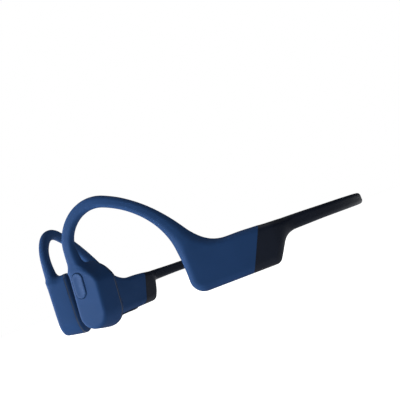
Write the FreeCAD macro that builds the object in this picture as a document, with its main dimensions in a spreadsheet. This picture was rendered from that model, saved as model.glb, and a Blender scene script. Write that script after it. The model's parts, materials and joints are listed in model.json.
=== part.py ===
import FreeCAD, Part
import math
import os
import Sketcher

# Bone conduction headphones, millimetres, +Z up, +X towards the wearer's face, +Y to the
# wearer's left. The origin is under the middle of the object, on the surface it stands on.
#
# Each arm lies on one vertical surface whose plan line is a straight stretch (the housing),
# an arc forward (the ear hook and pod) and an arc rearward (the neckband). A place on it is
# given by "along", the distance forward from where the neckband enters the housing,
# "outward", the distance away from the head, and "up", the height.

Vector = FreeCAD.Vector
LEFT = 1
RIGHT = -1
SIDES = ((LEFT, "left"), (RIGHT, "right"))

SIZES = (
    ("arm_yaw", 28.0),            # how far each housing turns inwards, degrees
    ("side_radius", 40.0),        # neckband beside the head
    ("rear_radius", 100.0),       # neckband behind the neck
    ("side_centre_x", -16.95),
    ("side_centre_y", 21.1),
    ("hook_plan_radius", 98.6),   # plan curve of hook and pod
    ("hook_tangent", 27.6),       # where the straight stretch ends
    ("band_thickness", 3.0),
    ("band_height", 4.6),
    ("band_lift", 12.0),
    ("bore_width", 1.4),
    ("bore_height", 3.3),
    ("strand_diameter", 1.0),
    ("strand_offset", 0.85),      # titanium wire above, cable below the band's middle
    ("flex_gap", 1.0),
    ("strand_reach", 4.0),        # how far wire and cable run into each housing
    ("band_clamp_length", 1.6),
    ("band_clamp_along", 4.8),
    ("band_clamp_drop", 0.6),
    ("housing_rear", 1.0),
    ("housing_length", 32.6),
    ("housing_height", 14.9),
    ("housing_thickness", 9.1),
    ("housing_floor", 0.5),
    ("corner_radius", 4.4),
    ("edge_radius", 2.4),
    ("skin", 0.9),                # silicone over the hard case
    ("case_wall", 0.9),
    ("case_split", 1.4),          # joint between the two case halves, outward of the middle
    ("seam_rear", 9.4),           # middle height of the slanted seam
    ("seam_slant", 25.6),
    ("seam_width", 0.4),
    ("hook_top_radius", 12.4),
    ("hook_back_radius", 40.4),
    ("hook_top_along", 57.5),
    ("hook_top_lift", 30.1),
    ("hook_bend", 113.4),         # turn where the tight top bend gives way, degrees
    ("hook_height", 4.6),
    ("hook_thickness", 3.9),
    ("hook_bore", 2.9),
    ("hook_anchor", 2.1),
    ("pod_along", 66.3),
    ("pod_inset", 2.3),           # pod's middle lies inside the hook's surface
    ("pod_foot_ahead", 2.7),
    ("pod_foot_lift", 0.05),
    ("pod_yaw", 55.0),
    ("pod_lean", 5.0),
    ("pod_width", 13.6),
    ("pod_height", 24.2),
    ("pod_depth", 10.0),
    ("pod_corner", 6.4),
    ("pod_edge", 2.6),
    ("pod_wall", 1.1),
    ("pod_split", 1.9),           # face pad thickness, cheek side
    ("ring_width", 0.5),
    ("yoke_diameter", 10.4),
    ("yoke_height", 4.2),
    ("yoke_wall", 0.6),
    ("magnet_diameter", 7.0),
    ("magnet_height", 2.2),
    ("top_plate_height", 0.8),
    ("coil_inner", 7.5),
    ("coil_outer", 8.7),
    ("coil_height", 2.0),
    ("coil_overlap", 0.8),        # how far the coil reaches up around the top plate
    ("bracket_thickness", 0.6),
    ("spring_thickness", 0.3),
    ("transducer_lift", 8.4),     # transducer axis above the pod's foot
    ("button_width", 4.4),
    ("button_length", 9.0),
    ("button_height", 1.9),
    ("button_clearance", 0.15),
    ("button_travel", 0.35),
    ("button_proud", 0.35),
    ("button_forward", 2.6),
    ("button_up", 16.9),
    ("contact_gap", 0.05),        # air left under a pressed button or key
    ("seal_thickness", 0.3),
    ("switch_size", 3.0),
    ("switch_height", 0.8),
    ("board_thickness", 0.6),
    ("button_board_width", 6.0),
    ("button_board_height", 6.2),
    ("button_board_forward", 1.0),
    ("button_seal_width", 6.2),
    ("button_seal_height", 8.6),
    ("button_seal_forward", 1.6),
    ("strip_length", 14.5),
    ("strip_width", 5.8),
    ("strip_height", 1.1),
    ("strip_along", 23.6),
    ("strip_floor", 0.3),
    ("key_length", 4.2),
    ("key_width", 2.4),
    ("key_height", 1.95),
    ("key_pitch", 9.4),
    ("key_floor", 0.0),
    ("key_travel", 0.3),
    ("battery_length", 19.0),
    ("battery_height", 9.4),
    ("battery_thickness", 3.6),
    ("battery_along", 20.0),
    ("battery_outward", -1.9),    # inner face of the cell
    ("battery_pad_thickness", 0.7),
    ("protection_board_length", 3.0),
    ("protection_board_height", 7.0),
    ("protection_board_along", 8.4),
    ("main_board_length", 20.0),
    ("main_board_height", 6.6),
    ("main_board_along", 16.0),
    ("main_board_rise", 1.6),     # board middle above the housing's middle
    ("shield_length", 9.0),
    ("shield_height", 5.2),
    ("shield_depth", 1.3),
    ("microphone_along", 15.0),
    ("microphone_lift", 4.2),
    ("microphone_length", 2.4),
    ("microphone_width", 2.0),
    ("microphone_depth", 0.9),
    ("sound_hole", 1.2),
    ("socket_length", 7.4),
    ("socket_width", 3.0),
    ("socket_depth", 2.0),
    ("port_along", 30.6),
    ("port_lift", 7.8),
    ("port_recess", 0.35),
    ("port_margin", 0.05),        # gap between the port and the housing around it
    ("pin_diameter", 1.1),
    ("pin_offset", 1.1),
    ("charge_magnet_diameter", 1.5),
    ("charge_magnet_offset", 2.65),
)

doc = FreeCAD.newDocument("BoneConductionHeadphones")
sheet = doc.addObject("Spreadsheet::Sheet", "Sizes")
for row, (alias, value) in enumerate(SIZES, start=1):
    sheet.set(f"A{row}", alias)
    sheet.set(f"B{row}", str(value))
    sheet.setAlias(f"B{row}", alias)
doc.recompute()

nodes = {}


def size(alias):
    """Value of one driving dimension."""
    return float(sheet.get(alias))


def bind(item, **expressions):
    """Tie properties of an object to cells of the sheet."""
    for name, expression in expressions.items():
        item.setExpression(name, expression)
    return item


def keep(item, node):
    """Register an object as one of the pieces that are written out."""
    item.Label = node
    nodes[node] = item
    return item


# ---------------------------------------------------------------- places on an arm

YAW = math.radians(size("arm_yaw"))
FORWARD = Vector(math.cos(YAW), -math.sin(YAW), 0)
OUTWARD = Vector(math.sin(YAW), math.cos(YAW), 0)
SIDE_CENTRE = Vector(size("side_centre_x"), size("side_centre_y"), 0)
BAND_END = SIDE_CENTRE + OUTWARD * size("side_radius")
RADIUS_STEP = size("rear_radius") - size("side_radius")
REAR_HALF_ANGLE = math.asin(size("side_centre_y") / RADIUS_STEP)
REAR_CENTRE = Vector(size("side_centre_x") + RADIUS_STEP * math.cos(REAR_HALF_ANGLE), 0, 0)
SIDE_ANGLE = math.pi / 2 + YAW - REAR_HALF_ANGLE


def arm_frame(along, side=LEFT):
    """Plan point, forward direction and outward direction at a distance along the arm."""
    tangent_at = size("hook_tangent")
    straight = min(along, tangent_at)
    point = BAND_END + FORWARD * straight
    heading = YAW
    if along > tangent_at:
        radius = size("hook_plan_radius")
        centre = point - OUTWARD * radius
        heading = YAW + (along - tangent_at) / radius
        point = centre + Vector(math.sin(heading), math.cos(heading), 0) * radius
    forward = Vector(math.cos(heading), -math.sin(heading), 0)
    outward = Vector(math.sin(heading), math.cos(heading), 0)
    return tuple(Vector(v.x, v.y * side, 0) for v in (point, forward, outward))


def arm_point(along, outward, up, side=LEFT):
    """Point in the object's frame for a place on the arm."""
    point, _, normal = arm_frame(along, side)
    return point + normal * outward + Vector(0, 0, up)


def axes_placement(origin, x_axis, y_axis):
    """Placement from an origin and two axes."""
    z_axis = x_axis.cross(y_axis)
    matrix = FreeCAD.Matrix(
        x_axis.x, y_axis.x, z_axis.x, origin.x,
        x_axis.y, y_axis.y, z_axis.y, origin.y,
        x_axis.z, y_axis.z, z_axis.z, origin.z,
        0, 0, 0, 1)
    return FreeCAD.Placement(matrix)


def housing_place(side, along, outward, up):
    """Local x forward, local y across the housing, local z up."""
    yaw = -size("arm_yaw") * side
    return FreeCAD.Placement(arm_point(along, outward, up, side),
                             FreeCAD.Rotation(Vector(0, 0, 1), yaw))


def across_place(side, along, outward, up):
    """Local x forward, local z away from the head: for flat pieces inside a housing."""
    origin = arm_point(along, outward, up, side)
    _, forward, normal = arm_frame(0, side)
    return axes_placement(origin, forward, normal.cross(forward))


def pod_axes(side):
    """Forward, outward and up directions of a pod, with its foot leaning forward."""
    yaw = math.radians(size("pod_yaw"))
    lean = math.radians(size("pod_lean"))
    level = Vector(math.cos(yaw), -math.sin(yaw) * side, 0)
    outward = Vector(math.sin(yaw), math.cos(yaw) * side, 0)
    forward = level * math.cos(lean) + Vector(0, 0, math.sin(lean))
    up = Vector(0, 0, math.cos(lean)) - level * math.sin(lean)
    return forward, outward, up


def pod_point(side, forward, outward, up):
    """Point in the object's frame for a place in the pod, measured from its foot."""
    ahead, normal, upward = pod_axes(side)
    foot = arm_point(size("pod_along"), 0, size("pod_foot_lift"), side)
    foot += ahead * size("pod_foot_ahead") - normal * size("pod_inset")
    return foot + ahead * forward + normal * outward + upward * up


def pod_place(side, forward, outward, up):
    """Local x forward, local y up in the pod's plane or down, local z away from the cheek."""
    ahead, normal, _ = pod_axes(side)
    return axes_placement(pod_point(side, forward, outward, up), ahead, normal.cross(ahead))


# ---------------------------------------------------------------- building blocks

def origin_plane(body, role):
    """One of a body's own origin planes."""
    return next(item for item in body.Origin.OriginFeatures if item.Role == role)


def sketch_on(body, name, role="XY_Plane"):
    """An empty sketch on an origin plane of its body."""
    sketch = body.newObject("Sketcher::SketchObject", name)
    sketch.AttachmentSupport = [(origin_plane(body, role), "")]
    sketch.MapMode = "FlatFace"
    return sketch


def add_rectangle(sketch, width, height, centre_x="0", centre_y="0"):
    """Rectangle with its sides and its middle tied to the sheet."""
    corners = ((-1, -1), (1, -1), (1, 1), (-1, 1))
    first = sketch.GeometryCount
    for index in range(4):
        ax, ay = corners[index]
        bx, by = corners[(index + 1) % 4]
        sketch.addGeometry(Part.LineSegment(Vector(ax, ay, 0), Vector(bx, by, 0)))
    for index in range(4):
        after = first + (index + 1) % 4
        sketch.addConstraint(Sketcher.Constraint("Coincident", first + index, 2, after, 1))
    sketch.addConstraint(Sketcher.Constraint("Horizontal", first))
    sketch.addConstraint(Sketcher.Constraint("Horizontal", first + 2))
    sketch.addConstraint(Sketcher.Constraint("Vertical", first + 1))
    sketch.addConstraint(Sketcher.Constraint("Vertical", first + 3))
    limits = (
        ("DistanceX", first, 1, f"({centre_x}) - ({width}) / 2"),
        ("DistanceX", first + 1, 2, f"({centre_x}) + ({width}) / 2"),
        ("DistanceY", first, 1, f"({centre_y}) - ({height}) / 2"),
        ("DistanceY", first + 1, 2, f"({centre_y}) + ({height}) / 2"),
    )
    for kind, line, end, expression in limits:
        number = sketch.addConstraint(Sketcher.Constraint(kind, -1, 1, line, end, 1.0))
        bind(sketch, **{f"Constraints[{number}]": expression})


def add_circle(sketch, diameter):
    """Circle about the sketch's origin."""
    line = sketch.addGeometry(Part.Circle(Vector(0, 0, 0), Vector(0, 0, 1), 1.0))
    sketch.addConstraint(Sketcher.Constraint("Coincident", line, 3, -1, 1))
    number = sketch.addConstraint(Sketcher.Constraint("Diameter", line, 2.0))
    bind(sketch, **{f"Constraints[{number}]": diameter})


def pad(body, sketch, length):
    """Solid raised from a sketch along its normal."""
    feature = body.newObject("PartDesign::Pad", body.Name + "Pad")
    feature.Profile = sketch
    bind(feature, Length=length)
    body.Tip = feature
    return feature


def round_edges(body, radius, chosen):
    """Fillet on the edges of the tip that the test picks."""
    doc.recompute()
    base = body.Tip
    names = [f"Edge{number}" for number, edge in enumerate(base.Shape.Edges, start=1)
             if chosen(edge)]
    feature = body.newObject("PartDesign::Fillet", body.Name + "Fillet")
    feature.Base = (base, names)
    bind(feature, Radius=radius)
    body.Tip = feature
    return feature


def is_upright(edge):
    """True for a straight edge along the pad direction."""
    if not isinstance(edge.Curve, Part.Line):
        return False
    return abs(edge.Curve.Direction.z) > 0.99


def is_arc(edge):
    """True for an edge that is part of a circle."""
    return isinstance(edge.Curve, Part.Circle)


def lies_at(height):
    """Test for the edges that lie wholly at one height."""
    def chosen(edge):
        box = edge.BoundBox
        return abs(box.ZMin - height) < 1e-4 and abs(box.ZMax - height) < 1e-4
    return chosen


def plate(name, width, height, thickness, corner=None, edge=None):
    """Flat block centred on its origin in x and y, standing on z = 0."""
    body = doc.addObject("PartDesign::Body", name)
    sketch = sketch_on(body, name + "Outline")
    add_rectangle(sketch, width, height)
    raised = pad(body, sketch, thickness)
    if corner:
        round_edges(body, corner, is_upright)
    if edge:
        doc.recompute()
        top = raised.Length.Value
        bottom_edge = lies_at(0)
        top_edge = lies_at(top)
        round_edges(body, edge, lambda item: bottom_edge(item) or top_edge(item))
    return body


def disc(name, diameter, thickness, hole=None):
    """Round plate, or a ring when a hole is given, standing on z = 0."""
    body = doc.addObject("PartDesign::Body", name)
    sketch = sketch_on(body, name + "Outline")
    add_circle(sketch, diameter)
    if hole:
        add_circle(sketch, hole)
    pad(body, sketch, thickness)
    return body


def cut(name, base, *tools):
    """Base with every tool taken away."""
    result = base
    for number, tool in enumerate(tools, start=1):
        step = doc.addObject("Part::Cut", f"{name}Cut{number}")
        step.Base = result
        step.Tool = tool
        result = step
    return result


def common(name, base, tool):
    """What two solids share."""
    result = doc.addObject("Part::Common", name + "Common")
    result.Base = base
    result.Tool = tool
    return result


def fuse(name, *items):
    """Several solids joined into one."""
    result = doc.addObject("Part::MultiFuse", name + "Fuse")
    result.Shapes = list(items)
    return result


def group(name, *items):
    """Several separate solids of the same kind in one piece."""
    result = doc.addObject("Part::Compound", name + "Group")
    result.Links = list(items)
    return result


# ---------------------------------------------------------------- neckband

BAND_EDGE = "Sizes.band_thickness * 0.42"


def turned(name, radius, tall, wide, angle):
    """Strip of rectangular section swept about the z axis, centred on z = 0."""
    body = doc.addObject("PartDesign::Body", name)
    sketch = sketch_on(body, name + "Section", "XZ_Plane")
    add_rectangle(sketch, wide, tall, centre_x=radius)
    feature = body.newObject("PartDesign::Revolution", name + "Turn")
    feature.Profile = sketch
    feature.ReferenceAxis = (sketch, ["V_Axis"])
    bind(feature, Angle=angle)
    body.Tip = feature
    return body


def arc_place(centre, start_angle, up):
    """Placement whose x axis points from an arc's centre to its start."""
    return FreeCAD.Placement(Vector(centre.x, centre.y, up),
                             FreeCAD.Rotation(Vector(0, 0, 1), math.degrees(start_angle)))


def sleeve_arc(name, centre, start, radius, angle, tall, wide):
    """A stretch of neckband solid, placed at band height."""
    body = turned(name, radius, tall, wide, angle)
    body.Placement = arc_place(centre, start, size("band_lift"))
    return body


def rounded_sleeve(name, centre, start, radius, angle):
    """A stretch of the neckband's silicone with its long edges rounded and its bore cut."""
    outer = turned(name + "Outer", radius, "Sizes.band_height", "Sizes.band_thickness", angle)
    doc.recompute()
    round_edges(outer, BAND_EDGE, is_arc)
    outer.Placement = arc_place(centre, start, size("band_lift"))
    bore = sleeve_arc(name + "Bore", centre, start, radius, angle,
                      "Sizes.bore_height", "Sizes.bore_width")
    return cut(name, outer, bore)


def strand_path(lift):
    """Centre line from one housing to the other: straight, three arcs, straight."""
    start_left = arm_point(size("strand_reach"), 0, 0, LEFT)
    end_left = arm_point(0, 0, 0, LEFT)
    flex = SIDE_CENTRE + size("side_radius") * Vector(
        -math.cos(REAR_HALF_ANGLE), math.sin(REAR_HALF_ANGLE), 0)
    middle_angle = math.pi / 2 - YAW + SIDE_ANGLE / 2
    side_middle = SIDE_CENTRE + size("side_radius") * Vector(
        math.cos(middle_angle), math.sin(middle_angle), 0)
    rear = REAR_CENTRE - Vector(size("rear_radius"), 0, 0)

    def mirrored(point):
        return Vector(point.x, -point.y, point.z)

    rise = Vector(0, 0, lift)
    left = [point + rise for point in (start_left, end_left, side_middle, flex)]
    right = [mirrored(point) for point in left]
    edges = (
        Part.LineSegment(left[0], left[1]),
        Part.Arc(left[1], left[2], left[3]),
        Part.Arc(left[3], rear + rise, right[3]),
        Part.Arc(right[3], right[2], right[1]),
        Part.LineSegment(right[1], right[0]),
    )
    return Part.Wire([edge.toShape() for edge in edges])


def strand(name, path, diameter):
    """Round wire or cable along a path of straight runs and tangent arcs."""
    spine = doc.addObject("Part::Feature", name + "Path")
    spine.Shape = path
    first = path.OrderedEdges[0]
    start = first.valueAt(first.FirstParameter)
    direction = first.tangentAt(first.FirstParameter)
    ring = doc.addObject("Part::Circle", name + "Section")
    bind(ring, Radius=f"{diameter} / 2")
    ring.Placement = FreeCAD.Placement(start, FreeCAD.Rotation(Vector(0, 0, 1), direction))
    sweep = doc.addObject("Part::Sweep", name)
    sweep.Sections = [ring]
    sweep.Spine = (spine, [f"Edge{index + 1}" for index in range(len(path.Edges))])
    sweep.Solid = True
    return sweep


rear_start = math.pi - REAR_HALF_ANGLE + size("flex_gap") / 2 / size("rear_radius")
keep(rounded_sleeve("NeckbandRearSleeve", REAR_CENTRE, rear_start, "Sizes.rear_radius",
                    "2 * asin(Sizes.side_centre_y / (Sizes.rear_radius - Sizes.side_radius))"
                    " - 1 deg * 180 / pi * Sizes.flex_gap / Sizes.rear_radius"),
     "neckband_rear_sleeve")
keep(strand("NeckbandWire", strand_path(size("band_lift") + size("strand_offset")),
            "Sizes.strand_diameter"), "neckband_wire")
keep(strand("NeckbandCable", strand_path(size("band_lift") - size("strand_offset")),
            "Sizes.strand_diameter"), "neckband_cable")


# ---------------------------------------------------------------- arm housings

def housing_form(name, side, inset):
    """The housing's outer form, or the same form shrunk by an inset on every face."""
    body = plate(name,
                 f"Sizes.housing_length - 2 * ({inset})",
                 f"Sizes.housing_height - 2 * ({inset})",
                 f"Sizes.housing_thickness - 2 * ({inset})",
                 corner=f"Sizes.corner_radius - ({inset})",
                 edge=f"Sizes.edge_radius - ({inset})")
    doc.recompute()
    depth = body.Shape.BoundBox.ZLength
    body.Placement = across_place(
        side,
        size("housing_rear") + size("housing_length") / 2,
        -depth / 2,
        size("housing_floor") + size("housing_height") / 2)
    return body


def slab(name, width, height, thickness, placement):
    """Plain block used only to divide or open other pieces."""
    body = plate(name, width, height, thickness)
    body.Placement = placement
    return body


def seam_slab(name, side, width, ahead):
    """Block with one pair of faces along the slanted seam."""
    slant = math.radians(size("seam_slant"))
    point, forward, outward = arm_frame(0, side)
    normal = forward * math.cos(slant) + Vector(0, 0, math.sin(slant))
    middle = arm_point(size("seam_rear"), 0, size("housing_height") / 2, side)
    third = normal.cross(outward)
    reach = 30.0
    origin = middle + normal * ahead - third * reach
    return slab(name, width, f"{2 * reach}", f"{2 * reach}",
                axes_placement(origin, normal, outward))


HALF_SEAM = size("seam_width") / 2
WEDGE = 80.0       # length of the blocks that keep one side of the seam
BEYOND = "60"      # larger than any section that a plain block divides

LINK_ALONG = 1.9     # middle of the block that joins neckband and boot
PASSAGE_ALONG = 3.0  # middle of the passage for wire and cable into the housing

HOOK_STATIONS = (
    # turn along the hook in degrees (or millimetres below the bend when negative),
    # height in the arm's surface, thickness across it
    (-9.0, 6.8, 6.0),
    (-5.0, 6.0, 5.2),
    (-1.0, 5.2, 4.4),
    (20.0, 4.8, 4.1),
    (45.0, 4.6, 4.0),
    (70.0, 4.6, 3.9),
    (92.0, 4.4, 3.8),
    (112.0, 4.0, 3.7),
    (126.0, 4.0, 3.8),
    (138.0, 4.3, 4.2),
    (147.0, 5.1, 5.0),
    (153.0, 6.0, 5.8),
    (158.0, 7.3, 6.6),
    (164.0, 9.4, 7.4),
    (171.0, 10.6, 7.6),
)
HOOK_ROUTE = (-7.6, 10.0, 38.0, 66.0, 92.0, 112.0, 126.0, 140.0, 152.0)
BORE_END = 154.6


def hook_place(turn):
    """Distance along, height and section angle at a turn of the hook."""
    near = size("hook_top_radius")
    far = size("hook_back_radius")
    along = size("hook_top_along")
    up = size("hook_top_lift")
    if turn < 0:
        return along + near, up + turn, 0.0
    angle = math.radians(turn)
    if turn <= size("hook_bend"):
        return along + near * math.cos(angle), up + near * math.sin(angle), angle
    joint = math.radians(size("hook_bend"))
    back_along = along + (near - far) * math.cos(joint)
    back_up = up + (near - far) * math.sin(joint)
    return back_along + far * math.cos(angle), back_up + far * math.sin(angle), angle


def hook_point(turn, side, outward=0.0):
    """Point on the hook's centre line, moved outwards by a given amount."""
    along, up, _ = hook_place(turn)
    return arm_point(along, outward, up, side)


def hook_section(name, side, turn, tall, wide):
    """Ellipse across the hook."""
    along, up, angle = hook_place(turn)
    _, forward, outward = arm_frame(along, side)
    radial = forward * math.cos(angle) + Vector(0, 0, math.sin(angle))
    ring = doc.addObject("Part::Ellipse", name)
    bind(ring, MajorRadius=f"Sizes.hook_height * {tall / size('hook_height') / 2:.4f}",
         MinorRadius=f"Sizes.hook_thickness * {wide / size('hook_thickness') / 2:.4f}")
    ring.Placement = axes_placement(arm_point(along, 0, up, side), radial, outward)
    return ring


def hook_form(name, side):
    """Outer form of the ear hook, from inside the pod to inside the housing."""
    loft = doc.addObject("Part::Loft", name)
    loft.Sections = [hook_section(f"{name}Section{number}", side, turn, tall, wide)
                     for number, (turn, tall, wide) in enumerate(HOOK_STATIONS, start=1)]
    loft.Solid = True
    loft.Ruled = False
    return loft


def rounded_route(points):
    """Straight runs joined by tangent arcs as large as the runs allow."""
    edges = []
    start = points[0]
    for before, corner, after in zip(points, points[1:], points[2:]):
        back = before - corner
        ahead = after - corner
        trim = 0.45 * min(back.Length, ahead.Length)
        back.normalize()
        ahead.normalize()
        turn = math.pi - back.getAngle(ahead)
        radius = trim / math.tan(turn / 2)
        bisector = (back + ahead).normalize()
        middle = corner + bisector * (radius / math.cos(turn / 2) - radius)
        arc_start = corner + back * trim
        arc_end = corner + ahead * trim
        edges.append(Part.LineSegment(start, arc_start).toShape())
        edges.append(Part.Arc(arc_start, middle, arc_end).toShape())
        start = arc_end
    edges.append(Part.LineSegment(start, points[-1]).toShape())
    return Part.Wire(edges)


def hook_strand(name, side, outward, diameter, route=HOOK_ROUTE):
    """Round strand along the inside of the hook."""
    points = [hook_point(turn, side, outward) for turn in route]
    return strand(name, rounded_route(points), diameter)


def hook_bore(name, side):
    """Passage along the hook, a little longer than the strands in it."""
    return hook_strand(name, side, 0, "Sizes.hook_bore", HOOK_ROUTE[:-1] + (BORE_END,))


def pod_form(name, side, inset):
    """The pod's outer form, or the same form shrunk by an inset on every face."""
    body = plate(name,
                 f"Sizes.pod_width - 2 * ({inset})",
                 f"Sizes.pod_height - 2 * ({inset})",
                 f"Sizes.pod_depth - 2 * ({inset})",
                 corner=f"Sizes.pod_corner - ({inset})",
                 edge=f"Sizes.pod_edge - ({inset})")
    doc.recompute()
    depth = body.Shape.BoundBox.ZLength
    body.Placement = pod_place(side, 0, -depth / 2, size("pod_height") / 2)
    return body


def pod_slab(name, side, thickness, outward):
    """Block across the whole pod, from a given distance outwards."""
    return slab(name, BEYOND, BEYOND, thickness,
                pod_place(side, 0, outward, size("pod_height") / 2))


def pod_disc(name, side, diameter, thickness, outward, hole=None):
    """Round piece on the transducer's axis."""
    body = disc(name, diameter, thickness, hole)
    body.Placement = pod_place(side, 0, outward, size("transducer_lift"))
    return body


def make_arm(side, word):
    """Hook, housing and their inner pieces for one side."""
    title = word.capitalize()
    outer = housing_form(title + "HousingOuter", side, "0")
    rear_outer = housing_form(title + "HousingRearOuter", side, "0")
    seal_outer = housing_form(title + "HousingSealOuter", side, "0")
    inner = [housing_form(f"{title}HousingInner{number}", side, "Sizes.skin")
             for number in range(5)]
    hollow = [housing_form(f"{title}HousingHollow{number}", side,
                           "Sizes.skin + Sizes.case_wall") for number in range(3)]
    front_half = seam_slab(title + "FrontHalf", side, f"{WEDGE}", WEDGE / 2 + HALF_SEAM)
    rear_half = seam_slab(title + "RearHalf", side, f"{WEDGE}", -WEDGE / 2 - HALF_SEAM)
    seal_slab = seam_slab(title + "SealSlab", side, "Sizes.seam_width", 0)

    # blue silicone: ear hook and front of the housing in one moulding
    front = common(title + "SkinFront", outer, front_half)
    skin = fuse(title + "Skin", front, hook_form(title + "Hook", side))
    pod_space = pod_form(title + "PodSpace", side, "0")
    bore = hook_bore(title + "HookBore", side)
    tools = [inner[0], pod_space, bore]
    if side == LEFT:
        tools.append(button_form(title + "SkinButtonSpace", "Sizes.button_clearance", "6", 2.0))
    else:
        tools += [strip_form(title + "StripSpace", "3"), port_space(title + "SkinPortSpace"),
                  sound_hole(title + "SkinSoundHole")]
    keep(cut(title + "Skin", skin, *tools), f"{word}_arm_skin")

    # black boot and the sleeve beside the head, up to the flex point
    boot = common(title + "BootShell", rear_outer, rear_half)
    reach = size("side_radius")
    start = math.pi / 2 - YAW
    angle = SIDE_ANGLE - size("flex_gap") / 2 / reach
    if side == RIGHT:
        start = -start - angle
    centre = Vector(SIDE_CENTRE.x, SIDE_CENTRE.y * side, 0)
    side_sleeve = turned(title + "SideSleeve", "Sizes.side_radius", "Sizes.band_height",
                         "Sizes.band_thickness", f"{math.degrees(angle):.6f} deg")
    doc.recompute()
    round_edges(side_sleeve, BAND_EDGE, is_arc)
    side_sleeve.Placement = arc_place(centre, start, size("band_lift"))
    bore_arc = sleeve_arc(title + "SideBore", centre, start, "Sizes.side_radius",
                          f"{math.degrees(angle):.6f} deg", "Sizes.bore_height",
                          "Sizes.bore_width")
    link = plate(title + "BootLink", "4", "Sizes.band_height", "Sizes.band_thickness")
    link.Placement = across_place(side, LINK_ALONG, -size("band_thickness") / 2,
                                  size("band_lift"))
    passage = [plate(f"{title}BandPassage{number}", "8", "Sizes.bore_height",
                     "Sizes.bore_width") for number in range(2)]
    for piece in passage:
        piece.Placement = across_place(side, PASSAGE_ALONG, -size("bore_width") / 2,
                                       size("band_lift"))
    whole = fuse(title + "Boot", boot, side_sleeve, link)
    keep(cut(title + "Boot", whole, inner[1], bore_arc, passage[0]), f"{word}_rear_boot")

    seal = common(title + "SeamSeal", seal_outer, seal_slab)
    keep(cut(title + "SeamSeal", seal, inner[2]), f"{word}_seam_seal")

    # hard case in two halves inside the silicone
    split = size("case_split")
    middle = size("housing_rear") + size("housing_length") / 2
    lid_slab = slab(title + "LidSlab", BEYOND, BEYOND, "10",
                    across_place(side, middle, split, 0))
    tub_slab = slab(title + "TubSlab", BEYOND, BEYOND, "10",
                    across_place(side, middle, split - 10, 0))
    lid = common(title + "Lid", inner[3], lid_slab)
    tub = common(title + "Tub", inner[4], tub_slab)
    lid_tools = [hollow[0]]
    if side == RIGHT:
        lid_tools.append(sound_hole(title + "LidSoundHole"))
    keep(cut(title + "Lid", lid, *lid_tools), f"{word}_case_lid")
    tub_tools = [hollow[1], passage[1]]
    if side == RIGHT:
        tub_tools += [key_space(f"{title}TubKeySpace{number}", number) for number in (0, 1)]
        tub_tools.append(port_space(title + "TubPortSpace"))
    keep(cut(title + "Tub", tub, *tub_tools), f"{word}_case_tub")

    keep(hook_strand(title + "HookWire", side, -0.7, "Sizes.strand_diameter"),
         f"{word}_hook_wire")
    keep(hook_strand(title + "HookLead", side, 0.7, "Sizes.strand_diameter * 0.9"),
         f"{word}_hook_lead")
    anchor = disc(title + "HookAnchor", "Sizes.hook_anchor", "0.9")
    tail = hook_point(HOOK_ROUTE[-1], side)
    direction = tail - hook_point(HOOK_ROUTE[-2], side)
    anchor.Placement = FreeCAD.Placement(tail, FreeCAD.Rotation(Vector(0, 0, 1), direction))
    keep(anchor, f"{word}_hook_anchor")
    clamp = plate(title + "BandAnchor", "Sizes.band_clamp_length",
                  "Sizes.bore_height + Sizes.band_clamp_length",
                  "Sizes.bore_width + Sizes.band_clamp_length")
    half_depth = (size("bore_width") + size("band_clamp_length")) / 2
    clamp.Placement = across_place(side, size("band_clamp_along"), -half_depth,
                                   size("band_lift") - size("band_clamp_drop"))
    keep(common(title + "BandAnchor", clamp, hollow[2]), f"{word}_band_anchor")


def make_pod(side, word):
    """Pod shell, face pad, ring and transducer for one side."""
    title = word.capitalize()
    face = -size("pod_depth") / 2
    pad_top = face + size("pod_split")
    ring_top = pad_top + size("ring_width")
    hollow = [pod_form(f"{title}PodHollow{number}", side, "Sizes.pod_wall")
              for number in range(3)]
    shell = common(title + "PodShell", pod_form(title + "PodOuterA", side, "0"),
                   pod_slab(title + "ShellSlab", side, "20", ring_top))
    bore = hook_bore(title + "PodBore", side)
    tools = [hollow[0], bore]
    if side == LEFT:
        tools.append(button_form(title + "ButtonHole", "Sizes.button_clearance", "6", 2.0))
    keep(cut(title + "PodShell", shell, *tools), f"{word}_pod_shell")
    ring = common(title + "PodRing", pod_form(title + "PodOuterB", side, "0"),
                  pod_slab(title + "RingSlab", side, "Sizes.ring_width", pad_top))
    keep(cut(title + "PodRing", ring, hollow[1]), f"{word}_pod_ring")
    cushion = common(title + "FacePad", pod_form(title + "PodOuterC", side, "0"),
                     pod_slab(title + "PadSlab", side, "20", pad_top - 20))
    keep(cut(title + "FacePad", cushion, hollow[2]), f"{word}_face_pad")

    level = face + size("pod_wall")
    keep(pod_disc(title + "Bracket", side, "Sizes.coil_outer", "Sizes.bracket_thickness", level),
         f"{word}_transducer_bracket")
    level += size("bracket_thickness")
    keep(pod_disc(title + "Spring", side, "Sizes.yoke_diameter", "Sizes.spring_thickness",
                  level), f"{word}_spring_plate")
    level += size("spring_thickness")
    keep(pod_disc(title + "Coil", side, "Sizes.coil_outer", "Sizes.coil_height", level,
                  hole="Sizes.coil_inner"), f"{word}_voice_coil")
    plate_level = level + size("coil_height") - size("coil_overlap")
    keep(pod_disc(title + "TopPlate", side, "Sizes.magnet_diameter",
                  "Sizes.top_plate_height", plate_level), f"{word}_top_plate")
    keep(pod_disc(title + "Magnet", side, "Sizes.magnet_diameter", "Sizes.magnet_height",
                  plate_level + size("top_plate_height")), f"{word}_magnet")
    cup = pod_disc(title + "YokeOuter", side, "Sizes.yoke_diameter",
                   "Sizes.yoke_height + Sizes.yoke_wall", level)
    well = pod_disc(title + "YokeWell", side, "Sizes.yoke_diameter - 2 * Sizes.yoke_wall",
                    "Sizes.yoke_height", level)
    keep(cut(title + "Yoke", cup, well), f"{word}_yoke")


# ---------------------------------------------------------------- left side

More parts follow.
